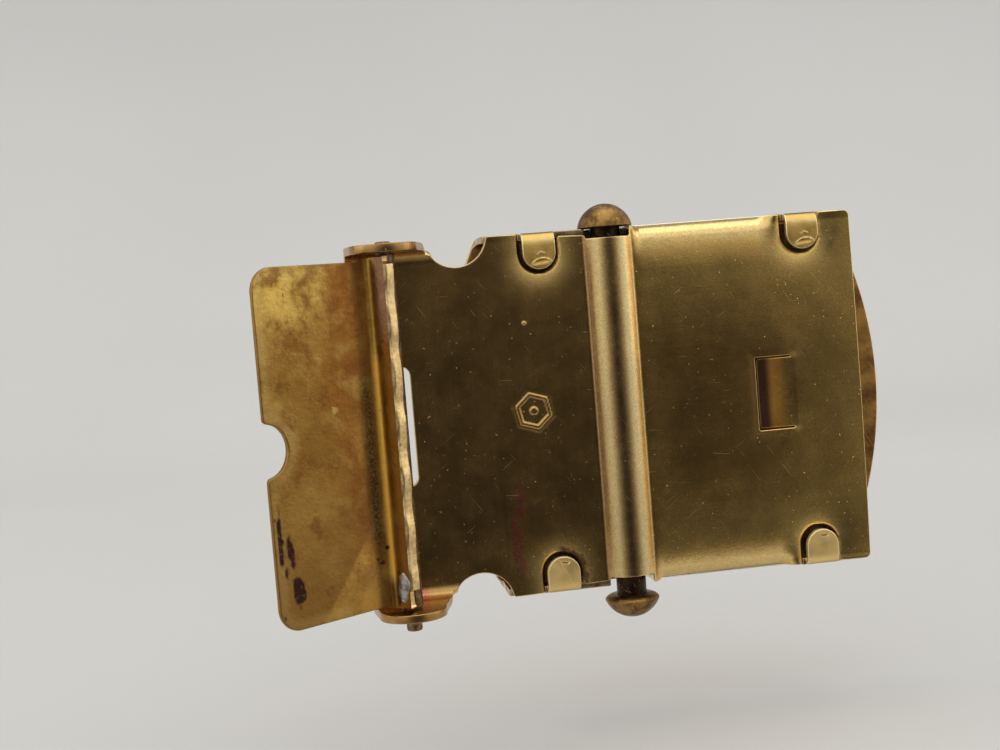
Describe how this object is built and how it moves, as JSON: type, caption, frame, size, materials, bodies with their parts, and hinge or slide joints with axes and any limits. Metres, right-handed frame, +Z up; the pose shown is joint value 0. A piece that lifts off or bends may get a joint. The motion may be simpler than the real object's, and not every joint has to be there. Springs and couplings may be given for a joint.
{
  "type": "belt buckle",
  "caption": "Boxed brass web-belt buckle with a toothed clamp lever between two ears and a loose round lock bar with domed knobs.",
  "frame": {"origin": "Middle of the belt's way through the box, under the pressed channel and midway between the long edges.", "axes": "+X runs along the belt away from the lever, +Y points out of the front face away from the wearer, +Z runs up across the belt's width."},
  "size_m": [0.0643, 0.0188, 0.0419],
  "materials": {
    "frame_brass": "worn polished brass, tarnished in the pressings",
    "face_brass": "brass, mottled brown inside",
    "lever_brass": "satin brass with brown staining",
    "pin_steel": "dark oxidised steel",
    "solder": "dull grey solder",
    "bar_brass": "dark aged brass",
    "knob_brass": "aged brass, pitted"
  },
  "bodies": {
    "frame": {"back_frame": "frame_brass", "face_plate": "face_brass"},
    "lever": {"clamp_lever": "lever_brass", "hinge_pin": "pin_steel", "solder_bead": "solder"},
    "bar": {"lock_bar": "bar_brass", "knob_upper": "knob_brass", "knob_lower": "knob_brass"}
  },
  "joints": [
    {"name": "lever_hinge", "type": "hinge", "parent": "frame", "child": "lever", "pos_m": [-0.0225, -0.00715, 0], "axis": [0, 0, 1], "range_deg": [-60, 156]},
    {"name": "bar_slide", "type": "slide", "parent": "frame", "child": "bar", "axis": [1, 0, 0], "range_m": [-0.0007, 0.0004]}
  ]
}
